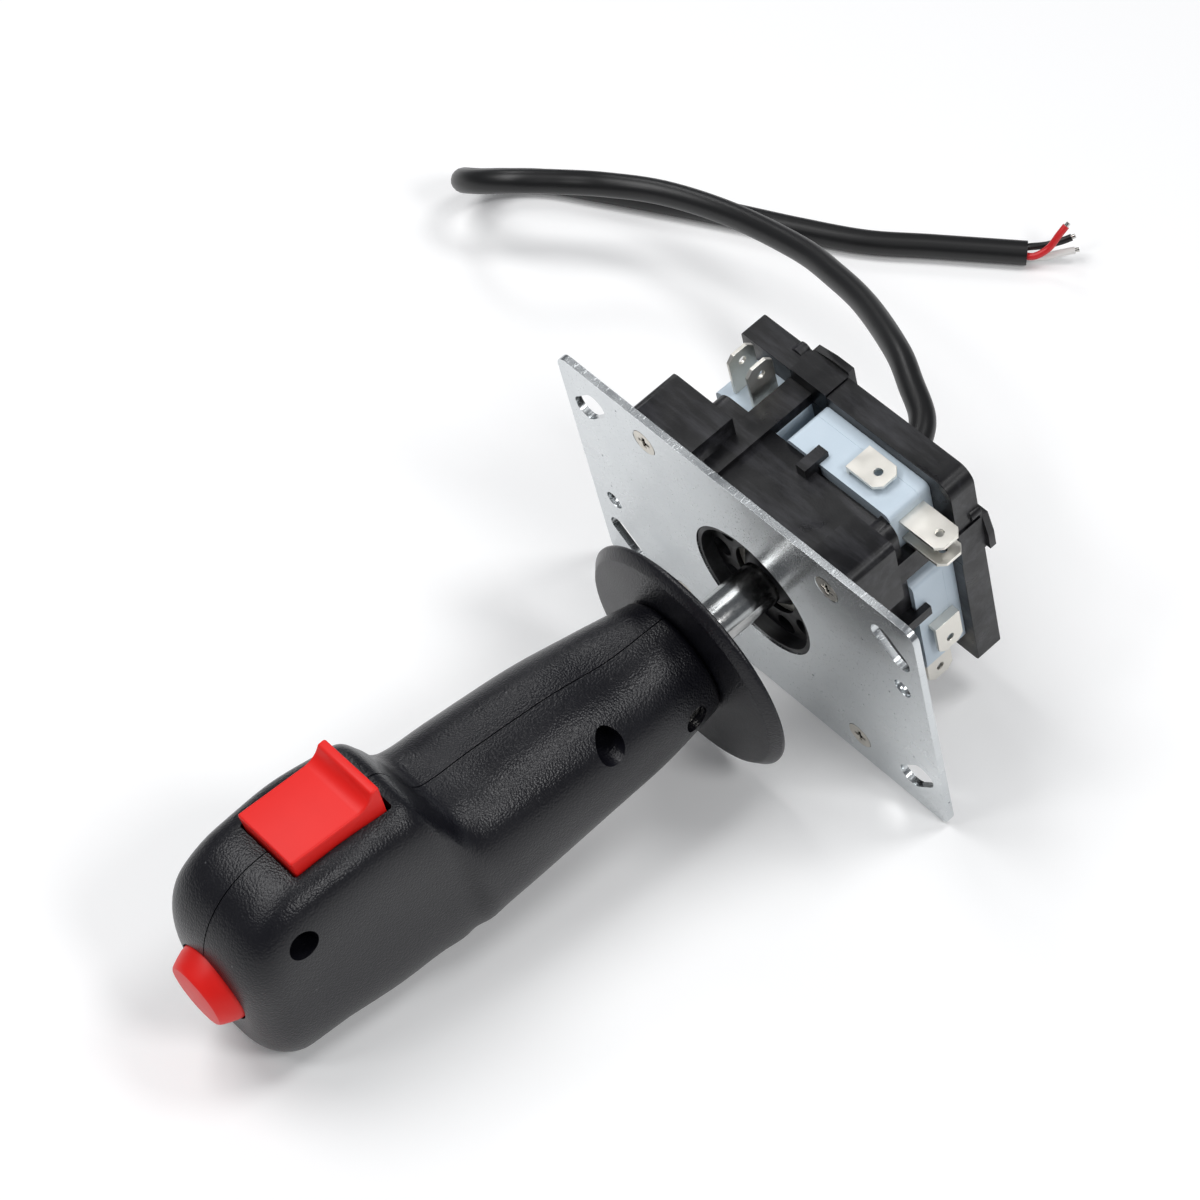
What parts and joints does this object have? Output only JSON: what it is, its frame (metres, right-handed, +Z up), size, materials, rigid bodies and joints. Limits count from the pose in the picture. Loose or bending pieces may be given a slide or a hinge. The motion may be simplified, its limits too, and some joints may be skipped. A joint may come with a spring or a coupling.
{
  "type": "arcade flight joystick",
  "caption": "Trigger-grip arcade joystick on a rectangular plate: a sprung ball pivot tilts the stick onto snap-action switches; trigger, thumb button and cable.",
  "frame": {"origin": "on the table, under the middle of the object without its cable, as it lies on the plate's lower edge and the back of the handle's head", "axes": "+X along the plate's long side, to the right seen from the handle; +Y from the handle to the base; +Z up from the table"},
  "size_m": [0.1994, 0.2769, 0.0696],
  "materials": {
    "handle_shell": "grained",
    "base_moulding": "semi-gloss",
    "red_moulding": "satin",
    "zinc_sheet": "zinc plated",
    "shaft_steel": "polished",
    "plated_steel": "nickel plated",
    "switch_moulding": "satin",
    "dark_switch_moulding": "satin",
    "tab_brass": "nickel plated",
    "bearing_nylon": "smooth",
    "cable_pvc": "satin",
    "red_pvc": "satin",
    "white_pvc": "satin"
  },
  "bodies": {
    "base": {"mounting_plate": "zinc_sheet", "plate_screws": "plated_steel", "base_housing": "base_moulding", "throw_ring": "base_moulding", "rear_cover": "base_moulding", "switch_case_top": "switch_moulding", "switch_case_right": "switch_moulding", "switch_case_bottom": "switch_moulding", "switch_case_left": "switch_moulding", "switch_lid_top": "switch_moulding", "switch_lid_right": "switch_moulding", "switch_lid_bottom": "switch_moulding", "switch_lid_left": "switch_moulding", "switch_tabs_top": "tab_brass", "switch_tabs_right": "tab_brass", "switch_tabs_bottom": "tab_brass", "switch_tabs_left": "tab_brass", "cable_gland": "cable_pvc", "cable": "cable_pvc", "wire_red": "red_pvc", "wire_black": "cable_pvc", "wire_white": "white_pvc", "wire_tips": "plated_steel"},
    "pivot_liner": {"pivot_liner": "bearing_nylon"},
    "stick": {"pivot_ball": "base_moulding", "shaft": "shaft_steel", "actuator": "red_moulding", "centring_spring": "plated_steel", "spring_washer": "zinc_sheet", "retaining_clip": "plated_steel", "inner_leads": "cable_pvc", "handle_left_shell": "handle_shell", "handle_right_shell": "handle_shell", "handle_screws": "plated_steel", "clamp_screw": "plated_steel", "trigger_pin": "plated_steel", "trigger_switch": "dark_switch_moulding", "thumb_switch": "dark_switch_moulding"},
    "dust_disc": {"dust_disc": "base_moulding"},
    "trigger": {"trigger": "red_moulding"},
    "trigger_plunger": {"trigger_plunger": "red_moulding"},
    "thumb_button": {"thumb_button": "red_moulding"},
    "thumb_plunger": {"thumb_plunger": "red_moulding"},
    "plunger_top": {"plunger_top": "red_moulding"},
    "plunger_right": {"plunger_right": "red_moulding"},
    "plunger_bottom": {"plunger_bottom": "red_moulding"},
    "plunger_left": {"plunger_left": "red_moulding"}
  },
  "joints": [
    {"name": "stick_pitch", "type": "hinge", "parent": "base", "child": "pivot_liner", "pos_m": [0, 0.05499, 0.03369], "axis": [1, 0, 0], "range_deg": [-8.1, 10.9], "stiffness_Nm_per_rad": 5},
    {"name": "stick_roll", "type": "hinge", "parent": "pivot_liner", "child": "stick", "pos_m": [0, 0.05499, 0.03369], "axis": [0, -0.2015, 0.9795], "range_deg": [-9.5, 9.5], "stiffness_Nm_per_rad": 5},
    {"name": "disc_slide", "type": "slide", "parent": "stick", "child": "dust_disc", "axis": [0, 0.9795, 0.2015], "range_m": [0, 0.009]},
    {"name": "trigger_pull", "type": "hinge", "parent": "stick", "child": "trigger", "pos_m": [0, -0.0641, 0.04187], "axis": [-1, 0, 0], "range_deg": [0, 6.5], "stiffness_Nm_per_rad": 0.35, "springref_deg": -5.73},
    {"name": "trigger_plunger_slide", "type": "slide", "parent": "stick", "child": "trigger_plunger", "axis": [0, 0.2015, -0.9795], "range_m": [0, 0.0012]},
    {"name": "thumb_press", "type": "slide", "parent": "stick", "child": "thumb_button", "axis": [0, 0.9795, 0.2015], "range_m": [0, 0.0012], "stiffness_N_per_m": 1500, "springref_m": -0.001},
    {"name": "thumb_plunger_slide", "type": "slide", "parent": "stick", "child": "thumb_plunger", "axis": [0, 0.9795, 0.2015], "range_m": [0, 0.0012]},
    {"name": "plunger_top_press", "type": "slide", "parent": "base", "child": "plunger_top", "axis": [0, -0.2253, 0.9743], "range_m": [0, 0.0008], "stiffness_N_per_m": 1200, "springref_m": -0.0005},
    {"name": "plunger_right_press", "type": "slide", "parent": "base", "child": "plunger_right", "axis": [1, 0, 0], "range_m": [0, 0.0008], "stiffness_N_per_m": 1200, "springref_m": -0.0005},
    {"name": "plunger_bottom_press", "type": "slide", "parent": "base", "child": "plunger_bottom", "axis": [0, 0.2253, -0.9743], "range_m": [0, 0.0008], "stiffness_N_per_m": 1200, "springref_m": -0.0005},
    {"name": "plunger_left_press", "type": "slide", "parent": "base", "child": "plunger_left", "axis": [-1, 0, 0], "range_m": [0, 0.0008], "stiffness_N_per_m": 1200, "springref_m": -0.0005}
  ],
  "couplings": [
    {"joint": "trigger_plunger_slide", "follows": "trigger_pull", "m_per_rad": 0.009},
    {"joint": "thumb_plunger_slide", "follows": "thumb_press", "ratio": 1}
  ]
}
